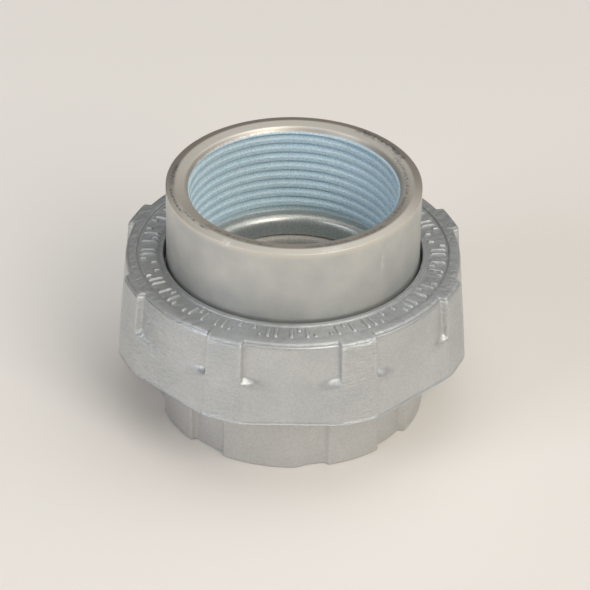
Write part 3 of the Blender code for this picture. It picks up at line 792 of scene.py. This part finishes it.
def scaled(tree, colour, factor):
    """The colour made lighter or darker by a factor."""
    inputs = {0: colour, "Scale": factor}
    return add_node(tree, "ShaderNodeVectorMath", inputs, operation="SCALE").outputs["Vector"]


def marked(tree, name):
    """The number that set_share wrote on the mesh under this name."""
    return add_node(tree, "ShaderNodeAttribute", attribute_name=name).outputs["Fac"]


# %% A finish from its start to its shader
def new_finish(name):
    """A material with an empty network but for its shader, and the Object coordinates to start from."""
    material = bpy.data.materials.new(name)
    material.use_nodes = True
    tree = material.node_tree
    place = add_node(tree, "ShaderNodeTexCoord").outputs["Object"]
    return material, tree, tree.nodes["Principled BSDF"], place


def set_shader(tree, shader, colour, roughness, relief, relief_height, metallic):
    """Link a finish to its shader. The relief is a bump of this height in millimetres."""
    inputs = {"Strength": 1.0, "Distance": relief_height * MM, "Height": relief}
    bump = add_node(tree, "ShaderNodeBump", inputs)
    tree.links.new(colour, shader.inputs["Base Color"])
    tree.links.new(roughness, shader.inputs["Roughness"])
    tree.links.new(bump.outputs["Normal"], shader.inputs["Normal"])
    shader.inputs["Metallic"].default_value = metallic


# %% [markdown]
# ## Finish of the castings
#
# Malleable iron, sand cast and then given a thin zinc skin. The sand leaves grains of about a third of a
# millimetre, which glitter one by one, and slow swells where the mould gave way. On the ribs and on one
# flat the sand was coarser and left ripples. The top is painted a darker grey in patches. The edges are
# painted lighter, partly worn by handling and partly painted highlight, and the ledge corners are only
# painted highlight. The glitter is drawn a little coarser than the real grain so that it shows at this
# size. The ripples could be displaced geometry, but they are shallower than the mesh is fine.

# %% Cast zinc finish
RIPPLE_HEIGHT = 0.7
CAST_METALLIC = 0.7


def cast_finish(name, dark, light, grain_size, grain_height, roughness):
    """Zinc on sand-cast iron: two greys in slow swells, glittering grains, ripples, a darker top, and
    lighter edges that are partly worn and partly painted highlight.
    """
    material, tree, shader, place = new_finish(name)
    swell = noise(tree, place, 9, 3.0)
    grain = noise(tree, place, grain_size, 2.0)
    glitter = add_node(tree, "ShaderNodeTexVoronoi", {"Vector": place, "Scale": per_size(0.8 * grain_size)})
    glint = add_node(tree, "ShaderNodeSeparateColor", {"Color": glitter.outputs["Color"]}).outputs

    greys = mixed(tree, remapped(tree, swell, 0, 1, 0.3, 0.7), linear(dark), linear(light))
    grains = scaled(tree, greys, remapped(tree, glint["Red"], 0.94, 1.06))
    # A darker grey in patches on the nut's top.
    top_darkening = calculated(tree, "MULTIPLY", swell, marked(tree, "darker_top"))
    darker_top = mixed(tree, top_darkening, grains, linear("A4A6A6"))
    # A lighter colour at the edges, partly worn and partly painted highlight.
    rubbed_and_highlit = calculated(tree, "MULTIPLY", marked(tree, "rubbed_and_highlit"), grain, use_clamp=True)
    colour = mixed(tree, rubbed_and_highlit, darker_top, linear("E6E6E2"))

    ripple = noise(tree, stretched(tree, place, 3.2), 1.8, 4.0, distortion=0.8)
    ripple_share = calculated(tree, "MULTIPLY", marked(tree, "coarse"), RIPPLE_HEIGHT / grain_height)
    relief = calculated(tree, "ADD", grain, glint["Blue"])
    relief = calculated(tree, "MULTIPLY_ADD", ripple, ripple_share, relief)
    dull = remapped(tree, glint["Green"], roughness - 0.07, roughness + 0.09)
    set_shader(tree, shader, colour, dull, relief, grain_height, CAST_METALLIC)
    return material


cast_nut = cast_finish("zinc_coated_cast_nut", "C2C5C5", "CCCECD", 0.36, 0.014, 0.42)
cast_hub = cast_finish("zinc_coated_cast_hub", "C9CAC9", "D1D1CF", 0.32, 0.009, 0.46)
print("cast finishes:", cast_nut.name, cast_hub.name)

# %% [markdown]
# ## Finish of the turned collar
#
# The collar was turned on a lathe before it was coated. The zinc hides the tool marks but for a faint
# change of gloss round the collar, and has dried in faint clouds. The wear and the painted light on the
# rim come from the numbers on the mesh, in layers: bare metal, brown painted shade, dark scuffs mixed
# with painted shade, and bright nicks mixed with painted highlights. A noise breaks up the last two,
# since a scrape only touches the high spots.

# %% Turned zinc finish
# Bare metal, brown painted shade, dark scuffs mixed with painted shade, and bright nicks mixed with painted
# highlights.
WEAR_AND_PAINTED_LIGHT_LAYERS = (
    ("bare", "DDD8CD", "solid"),
    ("brown", "A1978C", "solid"),
    ("scuffed_and_shaded", "4C4E55", "broken"),
    ("nicked_and_highlit", "FBFAF4", "broken"),
)
TURNED_METALLIC = 0.65


def turned_finish(name):
    """Zinc on turned iron: faint clouds, rings of changing gloss, and four layers of wear and painted
    light.
    """
    material, tree, shader, place = new_finish(name)
    cloud = noise(tree, place, 8, 5.0)
    rings = noise(tree, stretched(tree, place, 14.0), 6, 4.0)
    fine = noise(tree, place, 0.35, 2.0)
    high_spots = remapped(tree, noise(tree, place, 0.6, 5.0), 0, 1, 0.38, 0.6)
    colour = mixed(tree, remapped(tree, cloud, 0, 1, 0.32, 0.68), linear("BEC0BE"), linear("D0D0CB"))
    for mark, tint, form in WEAR_AND_PAINTED_LIGHT_LAYERS:
        share = marked(tree, mark)
        if form == "broken":
            share = calculated(tree, "MULTIPLY", share, high_spots)
        colour = mixed(tree, share, colour, linear(tint))
    dull = remapped(tree, rings, 0.38, 0.5)
    set_shader(tree, shader, colour, dull, fine, 0.006, TURNED_METALLIC)
    return material


turned_hub = turned_finish("zinc_coated_turned_collar")
print("turned finish:", turned_hub.name)

# %% [markdown]
# ## Finish of the socket
#
# The taper thread was cut last and electroplated with bright zinc, which is bluer than the coating
# outside. Tapping tears malleable iron a little, so the flanks are dull and full of fine pits. The
# shoulder below the thread was turned, so it kept a gloss, and its highlight shows where it rounds over
# into the throat. The lower hub's throat looks painted: it is pale, dull and warm.

# %% Socket finishes
def socket_finish(name, dark, light, roughness, metallic, pit_height):
    """Plated or painted iron in two tones, with pits that change its colour, gloss and surface."""
    material, tree, shader, place = new_finish(name)
    cloud = noise(tree, place, 5, 4.0)
    torn = noise(tree, place, 0.3, 3.0)
    base = mixed(tree, cloud, linear(dark), linear(light))
    pitted = scaled(tree, base, remapped(tree, torn, 0.8, 1.1, 0.35, 0.65))
    dull = remapped(tree, torn, roughness - 0.08, roughness + 0.12)
    set_shader(tree, shader, pitted, dull, torn, pit_height, metallic)
    return material


bright_thread = socket_finish("bright_zinc_thread", "C5DFEA", "D9EAF1", 0.58, 0.05, 0.1)
turned_shoulder = socket_finish("machined_zinc_shoulder", "CACAC4", "D6D5CF", 0.32, 0.65, 0.02)
painted_throat = socket_finish("painted_throat", "BFB8AE", "CBC6BD", 0.6, 0.1, 0.02)
print("socket finishes:", bright_thread.name, turned_shoulder.name, painted_throat.name)

# %% [markdown]
# ## Which finish goes where
#
# The rows of an outline say where a face lies, so the finish of a face is chosen by its row. The lead-in
# of the upper socket keeps the rim's finish, since both were ground in one go after plating.

# %% Put the finishes on
def paint_rows(piece, columns, finishes, row_finish):
    """Give each face the finish of its row: row_finish holds an index into the finishes for each row."""
    for finish in finishes:
        piece.data.materials.append(finish)
    index = np.repeat(np.asarray(row_finish, np.int32), columns)
    piece.data.polygons.foreach_set("material_index", index)
    piece.data.update()


OUTSIDE, THREAD, THROAT = range(3)
upper_finish = np.full(upper_rows, OUTSIDE)
bore_depth = RIM_TOP - upper_outline[bore_start:, 1]
upper_finish[bore_start:] = np.where(bore_depth < SHOULDER_DEPTH - 0.1, THREAD, THROAT)
upper_finish[bore_start:][bore_depth < GROUND_DEPTH] = OUTSIDE
paint_rows(upper_hub, UPPER_COLUMNS, (turned_hub, bright_thread, turned_shoulder), upper_finish)

row_radius, row_height = lower_outline.T
below_shoulder = row_height < SHOULDER_DEPTH - 0.25
lower_finish = np.full(len(lower_outline), OUTSIDE)
lower_finish[below_shoulder & (row_radius < RIM_INNER + 0.15)] = THREAD
lower_finish[~below_shoulder & (row_radius < SEAT_TOP_RADIUS + 0.5)] = THROAT
paint_rows(lower_hub, LOWER_COLUMNS, (cast_hub, bright_thread, painted_throat), lower_finish)

union_nut.data.materials.append(cast_nut)
nut_marks.data.materials.append(cast_nut)

print("finishes are on")

# %% [markdown]
# ## Riding, stage, light and camera
#
# Every piece rides on its body, and stands for its node. The stage is a pale floor with two soft lamps:
# the key at the front right, which puts the shadow at the back left, and a weaker and cooler one on the
# left. The world is a dark room with a white ceiling. Bare metal mirrors what lies round it: its sides
# mirror the pale floor, and its top faces the dark wall behind, so the sides come out lighter.

# %% Bodies and nodes
for piece, body, slot in (
    (upper_hub, "upper_hub", "turned_hub"),
    (union_nut, "union_nut", "cast_nut"),
    (nut_marks, "union_nut", "cast_nut"),
    (lower_hub, "lower_hub", "cast_hub"),
):
    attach(piece, body)
    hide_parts(body)
    print(piece.name, "rides on", body)

# %% Floor and world
FLOOR_HALF = 1.5
CEILING_LEAN = 0.35
WORLD_STRENGTH = 1.15

floor_mesh = bpy.data.meshes.new("floor")
corners = [(FLOOR_HALF * x, FLOOR_HALF * y, 0) for x, y in ((-1, -1), (1, -1), (1, 1), (-1, 1))]
floor_mesh.from_pydata(corners, [], [(0, 1, 2, 3)])
floor = bpy.data.objects.new("floor", floor_mesh)
bpy.context.scene.collection.objects.link(floor)
paper, _, shader, _ = new_finish("pale_paper_floor")
shader.inputs["Base Color"].default_value = linear("F5F0E9")
shader.inputs["Roughness"].default_value = 0.6
floor_mesh.materials.append(paper)
print("floor is", 2 * FLOOR_HALF, "m wide")

world = bpy.data.worlds.new("studio")
bpy.context.scene.world = world
world.use_nodes = True
sky = world.node_tree
direction = add_node(sky, "ShaderNodeTexCoord").outputs["Object"]
axes = add_node(sky, "ShaderNodeSeparateXYZ", {"Vector": direction}).outputs
lean = calculated(sky, "MULTIPLY_ADD", axes["X"], CEILING_LEAN, axes["Z"])
ceiling = add_node(
    sky,
    "ShaderNodeMapRange",
    {"Value": lean, "From Min": 0.55, "From Max": 0.95},
    interpolation_type="SMOOTHSTEP",
)
glow = mixed(sky, ceiling.outputs["Result"], linear("4A4643"), linear("FBFBFA"))
studio_light = sky.nodes["Background"]
sky.links.new(glow, studio_light.inputs["Color"])
studio_light.inputs["Strength"].default_value = WORLD_STRENGTH
print("the world's strength is", WORLD_STRENGTH)

# %% Lamps
LAMP_SIZE = 0.65
LAMP_AIM = Vector((0, 0, 0.03))


def soft_lamp(name, place, power, colour):
    """A square area lamp that faces the union."""
    lamp = bpy.data.lights.new(name, "AREA")
    lamp.size = LAMP_SIZE
    lamp.energy = power
    lamp.color = linear(colour)[:3]
    holder = bpy.data.objects.new(name, lamp)
    bpy.context.scene.collection.objects.link(holder)
    holder.location = place
    holder.rotation_euler = (LAMP_AIM - Vector(place)).to_track_quat("-Z", "Y").to_euler()


soft_lamp("key_right", (0.54, -0.84, 0.84), 6.0, "FFF8EE")
soft_lamp("fill_left", (-0.95, -0.65, 0.6), 5.0, "F0F5FF")
print("the lamps are", LAMP_SIZE, "m wide")

# %% Camera
DISTANCE = 1.0
LENS = 285.1
SENSOR_WIDTH = 36
ELEVATION = math.radians(33.79)
ROLL = math.radians(0.87)
TARGET = Vector((0.00055, 0.0, 0.02529))
back = Vector((0, -math.cos(ELEVATION), math.sin(ELEVATION)))
right = Vector((1, 0, 0))
up = Vector((0, math.sin(ELEVATION), math.cos(ELEVATION)))
rolled_right = math.cos(ROLL) * right + math.sin(ROLL) * up
rolled_up = -math.sin(ROLL) * right + math.cos(ROLL) * up
turned = Matrix((rolled_right, rolled_up, back)).transposed().to_4x4()

camera_data = bpy.data.cameras.new("camera")
camera_data.lens = LENS
camera_data.sensor_width = SENSOR_WIDTH
camera = bpy.data.objects.new("camera", camera_data)
bpy.context.scene.collection.objects.link(camera)
camera.matrix_world = Matrix.Translation(TARGET + DISTANCE * back) @ turned
bpy.context.scene.camera = camera
bpy.context.scene.view_settings.view_transform = "Standard"
print("camera stands", DISTANCE, "m away, with a lens of", LENS, "mm")
